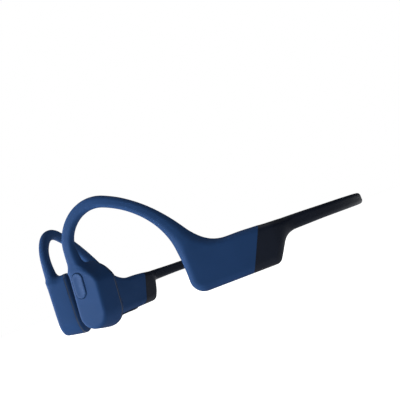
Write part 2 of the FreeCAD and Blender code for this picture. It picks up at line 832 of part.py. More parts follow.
def button_place(forward, outward, rise=0.0):
    """Placement in the left pod at the button's height, or above it."""
    return pod_place(LEFT, forward, outward, size("button_up") + rise)


def button_form(name, margin, thickness, outward):
    """Pill about the button's axis, its length up the pod."""
    body = plate(name, f"Sizes.button_width + 2 * {margin}",
                 f"Sizes.button_length + 2 * {margin}", thickness,
                 corner=f"Sizes.button_width / 2 + {margin} - 0.01")
    body.Placement = button_place(size("button_forward"), outward)
    return body


def make_button():
    """Multifunction button and what it presses, in the left pod."""
    level = size("pod_depth") / 2 + size("button_proud") - size("button_height")
    keep(button_form("MultifunctionButton", "0", "Sizes.button_height", level),
         "multifunction_button")
    level -= size("button_travel") + size("contact_gap") + size("seal_thickness")
    seal = plate("ButtonSeal", "Sizes.button_seal_width", "Sizes.button_seal_height",
                 "Sizes.seal_thickness", corner="1.0")
    seal.Placement = button_place(size("button_seal_forward"), level)
    keep(seal, "button_seal")
    level -= size("switch_height")
    switch = plate("ButtonSwitch", "Sizes.switch_size", "Sizes.switch_size",
                   "Sizes.switch_height")
    switch.Placement = button_place(size("button_forward"), level)
    keep(switch, "button_switch")
    level -= size("board_thickness")
    board = plate("ButtonBoard", "Sizes.button_board_width", "Sizes.button_board_height",
                  "Sizes.board_thickness", corner="0.8")
    board.Placement = button_place(size("button_board_forward"), level, rise=0.2)
    keep(board, "button_board")


def make_battery():
    """Battery, its foam pad and the protection board in the left housing."""
    middle = size("housing_floor") + size("housing_height") / 2
    battery = plate("Battery", "Sizes.battery_length", "Sizes.battery_height",
                    "Sizes.battery_thickness", corner="1.0")
    along = size("battery_along")
    battery.Placement = across_place(LEFT, along, size("battery_outward"), middle)
    keep(battery, "battery")
    foam = plate("BatteryPad", "Sizes.battery_length - 2", "Sizes.battery_height - 2",
                 "Sizes.battery_pad_thickness")
    foam_level = size("battery_outward") - size("battery_pad_thickness") - size("contact_gap")
    foam.Placement = across_place(LEFT, along, foam_level, middle)
    keep(foam, "battery_pad")
    board = plate("ProtectionBoard", "Sizes.protection_board_length",
                  "Sizes.protection_board_height", "Sizes.board_thickness")
    board.Placement = across_place(LEFT, size("protection_board_along"), 0.6, middle)
    keep(board, "protection_board")


# ---------------------------------------------------------------- right side

def strip_form(name, height):
    """Rubber strip that carries the two volume keys, or the room for it."""
    body = plate(name, "Sizes.strip_length", "Sizes.strip_width", height,
                 corner="Sizes.strip_width / 2 - 0.01")
    body.Placement = housing_place(RIGHT, size("strip_along"), 0, size("strip_floor"))
    return body


def key_space(name, number, margin=0.15):
    """Room for one key and its travel."""
    body = plate(name, f"Sizes.key_length + 2 * {margin}", f"Sizes.key_width + 2 * {margin}",
                 "6", corner=f"Sizes.key_width / 2 + {margin} - 0.01")
    along = size("strip_along") + (number - 0.5) * size("key_pitch")
    body.Placement = housing_place(RIGHT, along, 0, -2)
    return body


def port_form(name, margin, thickness, depth):
    """Oval of the charging port on the inner face of the right housing."""
    body = plate(name, f"Sizes.socket_width + 2 * {margin}",
                 f"Sizes.socket_length + 2 * {margin}", thickness,
                 corner=f"Sizes.socket_width / 2 + {margin} - 0.01")
    inner_face = -size("housing_thickness") / 2
    body.Placement = across_place(RIGHT, size("port_along"), inner_face + depth,
                                  size("port_lift"))
    return body


def port_space(name):
    """Room for the charging port through skin and case."""
    return port_form(name, "Sizes.port_margin", "4", -1.0)


def sound_hole(name):
    """Passage to the microphone through the outer face of the right housing."""
    body = disc(name, "Sizes.sound_hole", "4")
    body.Placement = across_place(RIGHT, size("microphone_along"),
                                  size("housing_thickness") / 2 - 3.0,
                                  size("microphone_lift"))
    return body


def make_volume_keys():
    """Volume keys, their strip, switches and board, under the right housing."""
    spaces = [key_space(f"StripKeySpace{number}", number) for number in (0, 1)]
    keep(cut("VolumeStrip", strip_form("VolumeStripBlock", "Sizes.strip_height"), *spaces), "volume_strip")
    switches = []
    key_top = size("key_floor") + size("key_height")
    switch_floor = key_top + size("key_travel") + size("contact_gap")
    for number, word in enumerate(("volume_down", "volume_up")):
        along = size("strip_along") + (number - 0.5) * size("key_pitch")
        key = plate(f"VolumeKey{number}", "Sizes.key_length", "Sizes.key_width",
                    "Sizes.key_height", corner="Sizes.key_width / 2 - 0.01")
        key.Placement = housing_place(RIGHT, along, 0, size("key_floor"))
        keep(key, word)
        switch = plate(f"VolumeSwitch{number}", "Sizes.switch_size", "Sizes.switch_size - 0.6",
                       "Sizes.switch_height")
        switch.Placement = housing_place(RIGHT, along, 0, switch_floor)
        switches.append(switch)
    keep(group("VolumeSwitches", *switches), "volume_switches")
    board = plate("VolumeBoard", "Sizes.key_pitch + 4", "4.2", "Sizes.board_thickness")
    board.Placement = housing_place(RIGHT, size("strip_along"), 0,
                                    switch_floor + size("switch_height"))
    keep(board, "volume_board")


def make_charge_port():
    """Bezel, contact pins and holding magnets of the charging port."""
    recess = size("port_recess")
    bezel = port_form("ChargeBezel", "0", "Sizes.socket_depth", recess)
    inner_face = -size("housing_thickness") / 2
    holes = []
    pieces = {}
    for kind in ("pin", "charge_magnet"):
        pieces[kind] = []
        title = kind.title().replace("_", "")
        diameter = f"Sizes.{kind}_diameter"
        for number, way in enumerate((-1, 1)):
            lift = size("port_lift") + way * size(f"{kind}_offset")
            hole = disc(f"{title}Hole{number}", diameter, "3")
            hole.Placement = across_place(RIGHT, size("port_along"), inner_face + recess, lift)
            holes.append(hole)
            item = disc(f"{title}{number}", diameter, "Sizes.socket_depth - 0.2")
            item.Placement = across_place(RIGHT, size("port_along"),
                                          inner_face + recess + 0.1, lift)
            pieces[kind].append(item)
    keep(cut("ChargeBezel", bezel, *holes), "charge_bezel")
    keep(group("ChargePins", *pieces["pin"]), "charge_pins")
    keep(group("ChargeMagnets", *pieces["charge_magnet"]), "charge_magnets")


def make_electronics():
    """Main board with its shield can, and the microphone behind its mesh."""
    middle = size("housing_floor") + size("housing_height") / 2 + size("main_board_rise")
    board = plate("MainBoard", "Sizes.main_board_length", "Sizes.main_board_height",
                  "Sizes.board_thickness", corner="0.8")
    board_level = 1.2
    board.Placement = across_place(RIGHT, size("main_board_along"), board_level, middle)
    keep(board, "main_board")
    can = plate("ShieldCan", "Sizes.shield_length", "Sizes.shield_height",
                "Sizes.shield_depth", corner="0.5")
    can.Placement = across_place(RIGHT, size("main_board_along"),
                                 board_level - size("shield_depth"), middle)
    keep(can, "shield_can")
    along = size("microphone_along")
    lift = size("microphone_lift")
    outer_face = size("housing_thickness") / 2
    mesh = disc("MicrophoneMesh", "Sizes.sound_hole - 0.1", "0.3")
    mesh.Placement = across_place(RIGHT, along, outer_face - 0.6, lift)
    keep(mesh, "microphone_mesh")
    capsule = plate("Microphone", "Sizes.microphone_length", "Sizes.microphone_width",
                    "Sizes.microphone_depth")
    inside = outer_face - size("skin") - size("case_wall") - size("microphone_depth")
    capsule.Placement = across_place(RIGHT, along, inside, lift)
    keep(capsule, "microphone")


# ---------------------------------------------------------------- the whole object

for side, word in SIDES:
    make_arm(side, word)
    make_pod(side, word)
make_button()
make_battery()
make_volume_keys()
make_charge_port()
make_electronics()
doc.recompute()

failed = [item.Name for item in doc.Objects
          if "Invalid" in item.State or "Error" in item.State]
if failed:
    raise RuntimeError("failed features: " + ", ".join(failed))
for node, item in nodes.items():
    if item.Shape.isNull() or not item.Shape.isValid():
        raise RuntimeError("bad shape: " + node)

os.makedirs("parts", exist_ok=True)
for node, item in nodes.items():
    item.Shape.exportStep(f"parts/{node}.step")
    print(f"{node}: {len(item.Shape.Solids)} solids, {item.Shape.Volume:.1f} mm3")
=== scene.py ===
"""Bone conduction headphones: visible skins, materials, light and camera round the frame."""
import json
import math

import bpy
import numpy as np
from mathutils import Matrix, Vector


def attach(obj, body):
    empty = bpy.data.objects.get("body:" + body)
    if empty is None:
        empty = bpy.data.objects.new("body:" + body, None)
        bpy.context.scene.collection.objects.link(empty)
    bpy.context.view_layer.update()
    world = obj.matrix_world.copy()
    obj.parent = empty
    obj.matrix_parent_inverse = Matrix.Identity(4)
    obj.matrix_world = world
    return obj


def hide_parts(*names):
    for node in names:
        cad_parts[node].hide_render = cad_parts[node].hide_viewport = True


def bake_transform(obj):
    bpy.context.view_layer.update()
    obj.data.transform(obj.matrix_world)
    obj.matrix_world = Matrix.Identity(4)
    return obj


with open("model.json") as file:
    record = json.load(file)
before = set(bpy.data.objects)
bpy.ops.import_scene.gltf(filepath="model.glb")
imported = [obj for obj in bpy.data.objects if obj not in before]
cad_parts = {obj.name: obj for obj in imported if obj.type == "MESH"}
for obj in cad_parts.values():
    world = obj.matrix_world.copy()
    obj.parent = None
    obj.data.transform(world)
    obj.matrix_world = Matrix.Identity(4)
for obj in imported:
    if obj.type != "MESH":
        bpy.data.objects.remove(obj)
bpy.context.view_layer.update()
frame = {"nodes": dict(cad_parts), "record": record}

MM = 0.001
LEFT = 1
RIGHT = -1
SIDES = ((LEFT, "left"), (RIGHT, "right"))

# ------------------------------------------------------------------ design sizes, millimetres
# A place on an arm is (along, outward, up): along its vertical surface from the point where the
# neckband enters the housing, away from the head, and above the table.

ARM_YAW = math.radians(28.0)
SIDE_RADIUS = 40.0
REAR_RADIUS = 100.0
SIDE_CENTRE = np.array((-16.95, 21.1))
HOOK_PLAN_RADIUS = 98.6
HOOK_TANGENT = 27.6
FORWARD = np.array((math.cos(ARM_YAW), -math.sin(ARM_YAW)))
OUTWARD = np.array((math.sin(ARM_YAW), math.cos(ARM_YAW)))
BAND_END = SIDE_CENTRE + OUTWARD * SIDE_RADIUS
HOOK_CENTRE = BAND_END + FORWARD * HOOK_TANGENT - OUTWARD * HOOK_PLAN_RADIUS
REAR_HALF_ANGLE = math.asin(SIDE_CENTRE[1] / (REAR_RADIUS - SIDE_RADIUS))
SIDE_ANGLE = math.pi / 2 + ARM_YAW - REAR_HALF_ANGLE
SIDE_LENGTH = SIDE_RADIUS * SIDE_ANGLE
REAR_LENGTH = REAR_RADIUS * REAR_HALF_ANGLE
REAR_CENTRE_X = SIDE_CENTRE[0] + (REAR_RADIUS - SIDE_RADIUS) * math.cos(REAR_HALF_ANGLE)
APEX = -SIDE_LENGTH - REAR_LENGTH

HOUSING_REAR = 1.0
HOUSING_FRONT = 33.6
HOUSING_FLOOR = 0.5
HOUSING_TOP = 15.4
HOUSING_HALF = 4.55
HOUSING_CORNER = 4.9
HOUSING_EDGE = 2.4
HOUSING_MIDDLE = 7.45
TOP_DROP = 0.4               # how far the top has sunk at the rear
TOP_DROP_STARTS = 14.0       # places along the housing where its top starts to sink and stops
TOP_DROP_ENDS = 3.0
UNDERSIDE_SOFTNESS = 0.4     # added to the edge radius along the underside
UNDERSIDE_LOW = 1.5
UNDERSIDE_HIGH = 5.0
SKIN = 0.9
SEAM_ALONG = 9.4
SEAM_SLANT = math.radians(25.6)
SEAM_HALF = 0.2
SEAL_SINK = 0.03

HOOK_TOP = (57.5, 30.1)
HOOK_TOP_RADIUS = 12.4
HOOK_BACK_RADIUS = 40.4
HOOK_BEND = math.radians(113.4)
HOOK_BACK = (HOOK_TOP[0] + (HOOK_TOP_RADIUS - HOOK_BACK_RADIUS) * math.cos(HOOK_BEND),
             HOOK_TOP[1] + (HOOK_TOP_RADIUS - HOOK_BACK_RADIUS) * math.sin(HOOK_BEND))
HOOK_BORE = 0.8
HOOK_BORE_START = -8.0       # ends of the bore and of the hook's form, along the hook
HOOK_BORE_END = 60.0
HOOK_LOWER_END = -7.0
HOOK_ROUNDNESS = 0.93        # edge radius over half the smaller width of its section
ROOT_FILLET_FRONT = 0.3      # where hook meets housing, and how much is added at its back
ROOT_FILLET_BACK = 7.6
ROOT_FILLET_SPAN = (-1.5, 2.0)
ROOT_CLEAR_SPAN = (-1.0, 5.0)    # distance over which the hook's section takes over
ROOT_ALONG = 50.0            # behind this the housing shapes the hook's root
SEAM_SIDE = 40.0             # behind this the seam ends the blue silicone

POD_YAW = math.radians(55.0)
POD_LEAN = math.radians(5.0)
POD_ALONG = 66.3
POD_AHEAD = 2.7
POD_INSET = 2.3
POD_LIFT = 0.05
POD_HEIGHT = 24.2
POD_HALF_WIDTH = 6.8
POD_HALF_DEPTH = 5.0
POD_EDGE = 1.1
POD_CORNER = 6.6
POD_TIGHT_CORNER = 3.4
POD_WALL = 0.9
SHOULDER_DROP = 0.9
SHOULDER_SLOPE = 0.32
SHOULDER_SPAN = (-1.5, 2.0)
SHOULDER_START = 1.0
SHOULDER_RISE = 8.0          # height over which the shoulder grows to its full drop
FACET_INSET = 1.3            # how far the outline has drawn in at the facet
FACET_SHIFT = 0.6
FACET_CURVE = 1.25
POD_SADDLE = 2.6             # where hook meets pod, and how much is added inside the bend
POD_SADDLE_INSIDE = 0.2
POD_SADDLE_SPAN = (0.5, 3.5)
JOINT_ALONG = 52.0           # the hook meets the pod ahead of this and below the next
JOINT_UP = 27.0

RING_BOTTOM = -3.1
RING_TOP = -2.6
RING_SINK = 0.05
RING_WALL = 1.1
PAD_CROWN = 0.3
PAD_CROWN_SPAN = (0.4, 5.5)
PAD_SINK = 0.02
PAD_EDGE = 1.5
PAD_RIM = 2.1
PAD_GROOVE = 0.32
PAD_GROOVE_LIFT = 0.1
PAD_HOLLOW = 3.9

BAND_LIFT = 12.0
BAND_DROP = 0.5
BAND_DROP_LENGTH = 50.0
BAND_HALF_THICKNESS = 1.5
BAND_CORNER = 1.35
BAND_REACH = 6.0             # how far the neckband runs into the boot
BAND_BORE_HALF_WIDTH = 0.7
BAND_BORE_HALF_HEIGHT = 1.25
BAND_BORE_REACH = 5.0
STRAND_RADIUS = 0.5
STRAND_OFFSET = 0.65
STRAND_REACH = 4.0

BUTTON = (2.6, 16.9)
BUTTON_RADIUS = 2.2
BUTTON_HALF_LENGTH = 4.5
BUTTON_GAP = 0.15
BUTTON_BACK = 3.5
BUTTON_FRONT = 5.35
BUTTON_EDGE = 0.42
BUTTON_DISH = 0.12
BUTTON_DISH_SPAN = (0.5, 2.0)
BUTTON_RECESS = 1.05         # room behind the button's back

STRIP_ALONG = 23.6
STRIP_HALF_LENGTH = 7.25
STRIP_RADIUS = 2.9
STRIP_FLOOR = 0.2
STRIP_TOP = 1.4
STRIP_EDGE = 0.3
STRIP_RECESS = 2.5
KEY_HALF_LENGTH = 2.1
KEY_RADIUS = 1.2
KEY_TOP = 1.95
KEY_PITCH = 9.4
KEY_GAP = 0.15
KEY_EDGE = 0.3
KEY_DISH = 0.1
KEY_DISH_SPAN = (0.3, 1.1)
PORT = (30.6, 7.8)
PORT_RADIUS = 1.5
PORT_HALF_LENGTH = 3.7
SOUND_HOLE = (15.0, 4.2)
SOUND_HOLE_RADIUS = 0.6
OPENING_GAP = 0.06           # play round the strip and the charging port
OPENING_DEPTH = 3.0          # the port and the sound hole start this far from the middle


# ------------------------------------------------------------------ places on an arm

def arm_to_world(points):
    """World places, in millimetres, of (along, outward, up) rows on the left arm."""
    along, outward, up = points.T
    x = BAND_END[0] + FORWARD[0] * along + OUTWARD[0] * outward
    y = BAND_END[1] + FORWARD[1] * along + OUTWARD[1] * outward
    stretches = (
        (along > HOOK_TANGENT, HOOK_CENTRE, HOOK_PLAN_RADIUS, ARM_YAW, HOOK_TANGENT),
        ((along < 0) & (along >= -SIDE_LENGTH), SIDE_CENTRE, SIDE_RADIUS, ARM_YAW, 0.0),
        (along < -SIDE_LENGTH, (REAR_CENTRE_X, 0.0), REAR_RADIUS, ARM_YAW - SIDE_ANGLE,
         -SIDE_LENGTH),
    )
    for chosen, centre, radius, heading, start in stretches:
        turn = heading + (along[chosen] - start) / radius
        reach = radius + outward[chosen]
        x[chosen] = centre[0] + reach * np.sin(turn)
        y[chosen] = centre[1] + reach * np.cos(turn)
    return np.column_stack((x, y, up))


def pod_frame():
    """Origin of the left pod, and its forward, outward and up directions."""
    level = np.array((math.cos(POD_YAW), -math.sin(POD_YAW), 0.0))
    outward = np.array((math.sin(POD_YAW), math.cos(POD_YAW), 0.0))
    rise = np.array((0.0, 0.0, 1.0))
    forward = level * math.cos(POD_LEAN) + rise * math.sin(POD_LEAN)
    up = rise * math.cos(POD_LEAN) - level * math.sin(POD_LEAN)
    foot = arm_to_world(np.array(((POD_ALONG, 0.0, POD_LIFT),)))[0]
    return foot + forward * POD_AHEAD - outward * POD_INSET, np.array((forward, outward, up))


POD_ORIGIN, POD_AXES = pod_frame()


def arm_to_pod(points):
    """Pod places (forward, outward, up) of places on the left arm."""
    return (arm_to_world(points) - POD_ORIGIN) @ POD_AXES.T


def pod_to_world(points):
    """World places of pod places on the left side."""
    return POD_ORIGIN + points @ POD_AXES


# ------------------------------------------------------------------ solid shapes as distance fields

def eased(value, low, high):
    """0 below low, 1 above high, and a smooth rise between."""
    share = np.clip((value - low) / (high - low), 0, 1)
    return share * share * (3 - 2 * share)


STATION_SAMPLES = 600
STATION_WINDOW = 61


def stations(position, places, values):
    """Values between stations, with the corners at the stations smoothed away."""
    fine = np.linspace(places[0], places[-1], STATION_SAMPLES)
    window = np.hanning(STATION_WINDOW)
    rough = np.pad(np.interp(fine, places, values), len(window) // 2, mode="edge")
    return np.interp(position, fine, np.convolve(rough, window / window.sum(), mode="valid"))


def smooth_union(a, b, width):
    """The nearer of two distances, with the crease between the shapes filled over a width."""
    overlap = np.maximum(width - np.abs(a - b), 0.0) / width
    return np.minimum(a, b) - overlap * overlap * width / 4


def round_overlap(a, b, radius):
    """Distance to where two shapes overlap, with their common edge rounded."""
    a = a + radius
    b = b + radius
    return (np.hypot(np.maximum(a, 0), np.maximum(b, 0))
            + np.minimum(np.maximum(a, b), 0) - radius)


def rounded_rectangle(x, y, half_x, half_y, radius):
    """Distance to a rectangle with round corners."""
    return round_overlap(np.abs(x) - half_x, np.abs(y) - half_y, radius)


def pill(x, y, half_length, radius):
    """Distance to a pill outline whose length runs along y."""
    return np.hypot(x, np.maximum(np.abs(y) - half_length + radius, 0)) - radius


def raised(outline, height, half_height, radius):
    """Distance to an outline raised to both sides of its plane, with its edges rounded."""
    return round_overlap(outline, np.abs(height) - half_height, radius)


def rounded_polygon(x, y, corners, radius):
    """Distance to a convex polygon grown by a radius; its corners run anticlockwise."""
    nearest = np.full_like(x, np.inf)
    outside = np.full_like(x, -np.inf)
    for (ax, ay), (bx, by) in zip(corners, corners[1:] + corners[:1]):
        ex = bx - ax
        ey = by - ay
        length = math.hypot(ex, ey)
        share = np.clip(((x - ax) * ex + (y - ay) * ey) / length ** 2, 0, 1)
        nearest = np.minimum(nearest, np.hypot(x - ax - share * ex, y - ay - share * ey))
        outside = np.maximum(outside, ((x - ax) * ey - (y - ay) * ex) / length)
    return np.where(outside > 0, nearest, -nearest) - radius


HOOK_STATIONS = (
    # millimetres along the hook from the level where the top bend starts, height and
    # thickness of the section
    (-8.0, 6.2, 4.6),
    (-4.0, 5.2, 4.1),
    (0.0, 4.6, 3.5),
    (5.0, 4.4, 3.2),
    (12.0, 4.4, 3.3),
    (20.0, 4.3, 3.4),
    (26.0, 4.1, 3.2),
    (34.0, 4.0, 3.2),
    (40.0, 4.2, 3.4),
    (46.0, 4.8, 4.0),
    (51.0, 5.8, 5.1),
    (55.0, 7.0, 6.4),
    (59.0, 8.6, 7.5),
    (66.0, 10.0, 8.2),
)
HOOK_DRIFT = (
    # millimetres along the hook, and how far its section stands outside the centre line
    # and outward of the arm's vertical surface
    (-8.0, 0.0, 0.3),
    (-2.0, 0.5, 0.35),
    (3.0, 0.45, 0.25),
    (10.0, 0.0, 0.1),
    (16.0, -0.05, 0.0),
    (30.0, 0.12, 0.0),
    (45.0, 0.12, 0.0),
    (60.0, 0.0, 0.0),
)


def hook_route(along, up):
    """Distance out from the hook's centre line, its outward shift and distance along it."""
    top_x = along - HOOK_TOP[0]
    top_y = up - HOOK_TOP[1]
    top_turn = np.arctan2(top_y, top_x)
    back_x = along - HOOK_BACK[0]
    back_y = up - HOOK_BACK[1]
    back_turn = np.arctan2(back_y, back_x) % (2 * math.pi)
    on_line = (top_y < 0) & (along > HOOK_BACK[0] - HOOK_BACK_RADIUS / 2)
    on_top = (top_turn >= 0) & (top_turn <= HOOK_BEND)
    radial = np.where(on_line, top_x - HOOK_TOP_RADIUS,
                      np.where(on_top, np.hypot(top_x, top_y) - HOOK_TOP_RADIUS,
                               np.hypot(back_x, back_y) - HOOK_BACK_RADIUS))
    run = np.where(on_line, top_y,
                   np.where(on_top, HOOK_TOP_RADIUS * top_turn,
                            HOOK_TOP_RADIUS * HOOK_BEND
                            + HOOK_BACK_RADIUS * (back_turn - HOOK_BEND)))
    places, rise, shift = zip(*HOOK_DRIFT)
    return radial - stations(run, places, rise), stations(run, places, shift), run


def housing_outline(along, up):
    """Distance to a housing's side view, whose top sinks a little towards the rear."""
    sunk = TOP_DROP * eased(-along, -TOP_DROP_STARTS, -TOP_DROP_ENDS)
    up = np.where(up > HOUSING_MIDDLE, up + sunk * eased(up, HOUSING_MIDDLE, HOUSING_TOP - 1), up)
    return rounded_rectangle(along - (HOUSING_REAR + HOUSING_FRONT) / 2,
                             up - (HOUSING_FLOOR + HOUSING_TOP) / 2,
                             (HOUSING_FRONT - HOUSING_REAR) / 2,
                             (HOUSING_TOP - HOUSING_FLOOR) / 2, HOUSING_CORNER)


def housing_hollow(along, outward, up):
    """Distance to the room inside a housing's silicone."""
    return raised(housing_outline(along, up), outward, HOUSING_HALF, HOUSING_EDGE) + SKIN


def underside_edge(up):
    """Edge radius of a housing's outside, softer along its underside."""
    return HOUSING_EDGE + UNDERSIDE_SOFTNESS * eased(-up, -UNDERSIDE_HIGH, -UNDERSIDE_LOW)


def ahead_of_seam(along, up):
    """Distance forward of the slanted seam between blue and black silicone."""
    return ((along - SEAM_ALONG) * math.cos(SEAM_SLANT)
            + (up - HOUSING_MIDDLE) * math.sin(SEAM_SLANT))


def pod_outline(forward, up):
    """Distance to a pod's outline: round foot and rear shoulder, tighter front corner."""
    y = up - POD_HEIGHT / 2
    shoulder = (SHOULDER_DROP * eased(-forward, *SHOULDER_SPAN)
                + SHOULDER_SLOPE * np.maximum(-forward - SHOULDER_START, 0))
    y = np.where(y > 0, y + shoulder * eased(y, 0, SHOULDER_RISE), y)
    soft = rounded_rectangle(forward, y, POD_HALF_WIDTH, POD_HEIGHT / 2, POD_CORNER)
    tight = rounded_rectangle(forward, y, POD_HALF_WIDTH, POD_HEIGHT / 2, POD_TIGHT_CORNER)
    return np.where((y > 0) & (forward > 0), tight, soft)


def pod_block(forward, outward, up):
    """Distance to a pod's whole form, drawn in towards its flat outer facet."""
    taper = np.clip((outward - RING_TOP) / (POD_HALF_DEPTH - RING_TOP), 0, 1) ** FACET_CURVE
    outline = pod_outline(forward - FACET_SHIFT * taper, up) + FACET_INSET * taper
    return raised(outline, outward, POD_HALF_DEPTH, POD_EDGE)


def arm_field(points, side):
    """Blue silicone of one arm: hook, front of the housing and outer shell of the pod."""
    along, outward, up = points.T
    forward, pod_outward, pod_up = arm_to_pod(points).T
    radial, shift, run = hook_route(along, up)
    places, heights, widths = zip(*HOOK_STATIONS)
    tall = stations(run, places, heights) / 2
    wide = stations(run, places, widths) / 2

    # in the housing's side view the hook's back flows into the top, and its front stays straight
    housing = housing_outline(along, up)
    hook = np.abs(radial) - tall
    hook = np.maximum(hook, np.maximum(HOOK_LOWER_END - run, run - places[-1]))
    fillet = ROOT_FILLET_FRONT + ROOT_FILLET_BACK * eased(radial, *ROOT_FILLET_SPAN)
    beside_housing = along < ROOT_ALONG
    outline = np.where(beside_housing, smooth_union(housing, hook, fillet), hook)
    clear = np.where(beside_housing, eased(housing, *ROOT_CLEAR_SPAN), 1.0)
    half = HOUSING_HALF + (wide - HOUSING_HALF) * clear
    edge = underside_edge(up)
    edge = edge + (HOOK_ROUNDNESS * np.minimum(wide, tall) - edge) * clear
    arm = raised(outline, outward - shift, half, edge)

    pod = pod_block(forward, pod_outward, pod_up)
    saddle = POD_SADDLE + POD_SADDLE_INSIDE * eased(-radial, *POD_SADDLE_SPAN)
    joined = smooth_union(arm, pod, saddle)
    near_pod = (along > JOINT_ALONG) & (up < JOINT_UP)
    arm = np.where(near_pod, np.maximum(joined, RING_TOP - pod_outward), arm)

    bore = np.maximum(np.hypot(radial, outward - shift) - HOOK_BORE,
                      np.maximum(HOOK_BORE_START - run, run - HOOK_BORE_END))
    hollow = np.minimum(housing_hollow(along, outward, up), bore)
    hollow = np.minimum(hollow, pod + POD_WALL)
    arm = np.maximum(arm, -hollow)
    behind_seam = SEAM_HALF - ahead_of_seam(along, up)
    arm = np.maximum(arm, np.where(along < SEAM_SIDE, behind_seam, -1.0))
    if side == LEFT:
        return np.maximum(arm, -button_recess(forward, pod_outward, pod_up))
    return np.maximum(arm, -right_openings(along, outward, up))


def button_recess(forward, outward, up):
    """Distance to the recess for the multifunction button in the left pod."""
    outline = pill(forward - BUTTON[0], up - BUTTON[1],
                   BUTTON_HALF_LENGTH + BUTTON_GAP, BUTTON_RADIUS + BUTTON_GAP)
    return np.maximum(outline, BUTTON_BACK - BUTTON_RECESS - outward)


def right_openings(along, outward, up):
    """Distance to the openings in the right housing for strip, charging port and microphone."""
    strip = pill(outward, along - STRIP_ALONG,
                 STRIP_HALF_LENGTH + OPENING_GAP, STRIP_RADIUS + OPENING_GAP)
    port = pill(along - PORT[0], up - PORT[1],
                PORT_HALF_LENGTH + OPENING_GAP, PORT_RADIUS + OPENING_GAP)
    sound = np.hypot(along - SOUND_HOLE[0], up - SOUND_HOLE[1]) - SOUND_HOLE_RADIUS
    openings = np.minimum(np.maximum(strip, up - STRIP_RECESS),
                          np.maximum(port, outward + OPENING_DEPTH))
    return np.minimum(openings, np.maximum(sound, OPENING_DEPTH - outward))


BOOT_CORNERS = (
    # side view of the boot, drawn in by its corner radius
    (16.0, 3.2),
    (16.0, 12.7),
    (10.0, 12.6),
    (-0.9, 11.8),
    (4.4, 3.2),
)
BOOT_RADIUS = 2.7
BOOT_TAPER = 2.1             # how much the boot thins to each side towards the neckband
BOOT_TAPER_SPAN = (-2.5, 6.0)
BOOT_EDGE_SPARE = 0.3        # how much of its half thickness its edge radius leaves
BOOT_FILLET_TOP = 0.5        # where boot meets neckband, and how much is added lower down
BOOT_FILLET_BELOW = 2.8
BOOT_FILLET_SPAN = (1.0, 2.3)


BAND_STATIONS = (
    # place along the arm, and half the neckband's height there
    (APEX - 6, 1.95),
    (-60.0, 2.15),
    (-18.0, 2.3),
    (-10.0, 2.47),
    (-3.0, 2.6),
    (12.0, 2.7),
)


def band_half_height(along):
    """Half the neckband's height: tallest at the boot, lowest behind the neck."""
    return stations(along, *zip(*BAND_STATIONS))


def band_lift(along):
    """Height of the neckband's middle above the table: a little lower away from the boots."""
    return BAND_LIFT - BAND_DROP * eased(-along, 0.0, BAND_DROP_LENGTH)


def boot_field(points):
    """Black silicone of one side: rear of the housing and neckband up to the apex."""
    along, outward, up = points.T
    above = up - band_lift(along)
    outline = rounded_polygon(along, up, BOOT_CORNERS, BOOT_RADIUS)
    half = HOUSING_HALF - BOOT_TAPER * eased(-along, *BOOT_TAPER_SPAN)
    edge = np.minimum(underside_edge(up), half - BOOT_EDGE_SPARE)
    boot = raised(outline, outward, half, edge)
    tall = band_half_height(along)
    band = rounded_rectangle(outward, above, BAND_HALF_THICKNESS, tall, BAND_CORNER)
    band = np.maximum(band, along - BAND_REACH)
    fillet = BOOT_FILLET_TOP + BOOT_FILLET_BELOW * (1 - eased(above, *BOOT_FILLET_SPAN))
    black = smooth_union(boot, band, fillet)
    black = np.maximum(black, APEX - along)
    bore = np.maximum(np.abs(outward) - BAND_BORE_HALF_WIDTH, np.abs(above) - BAND_BORE_HALF_HEIGHT)
    bore = np.maximum(bore, along - BAND_BORE_REACH)
    black = np.maximum(black, -np.minimum(bore, housing_hollow(along, outward, up)))
    return np.maximum(black, ahead_of_seam(along, up) + SEAM_HALF)


def seal_field(points):
    """Thin seal between blue and black, a little below their surfaces."""
    along, outward, up = points.T
    block = raised(housing_outline(along, up), outward, HOUSING_HALF, underside_edge(up))
    block = block + SEAL_SINK
    block = np.maximum(block, np.abs(ahead_of_seam(along, up)) - SEAM_HALF)
    return np.maximum(block, -housing_hollow(along, outward, up))


def ring_field(points):
    """Parting ring round a pod, a little below the surfaces beside it."""
    forward, outward, up = points.T
    outline = pod_outline(forward, up)
    level = np.abs(outward - (RING_TOP + RING_BOTTOM) / 2) - (RING_TOP - RING_BOTTOM) / 2
    block = np.maximum(outline + RING_SINK, level)
    return np.maximum(block, -(outline + RING_WALL))


def cheek_field(points):
    """Soft pad against the cheek, with a crowned face and a groove inside its rim."""
    forward, outward, up = points.T
    outline = pod_outline(forward, up)
    crown = PAD_CROWN * eased(-outline, *PAD_CROWN_SPAN)
    depth = -outward - (POD_HALF_DEPTH - PAD_CROWN - PAD_SINK + crown)
    pad = round_overlap(outline, depth, PAD_EDGE)
    groove = PAD_GROOVE - np.hypot(outline + PAD_RIM, depth - PAD_GROOVE_LIFT)
    pad = np.maximum(pad, groove)
    pad = np.maximum(pad, outward - RING_BOTTOM)
    hollow = np.maximum(outline + RING_WALL, -PAD_HOLLOW - outward)
    return np.maximum(pad, -hollow)


def button_field(points):
    """Multifunction button: a soft pill with a slightly dished face."""
    forward, outward, up = points.T
    outline = pill(forward - BUTTON[0], up - BUTTON[1], BUTTON_HALF_LENGTH, BUTTON_RADIUS)
    dish = BUTTON_DISH * eased(-outline, *BUTTON_DISH_SPAN)
    dish = dish * eased(outward, BUTTON_BACK, BUTTON_FRONT)
    middle = (BUTTON_BACK + BUTTON_FRONT) / 2
    half = (BUTTON_FRONT - BUTTON_BACK) / 2
    return raised(outline, outward - middle + dish, half, BUTTON_EDGE)


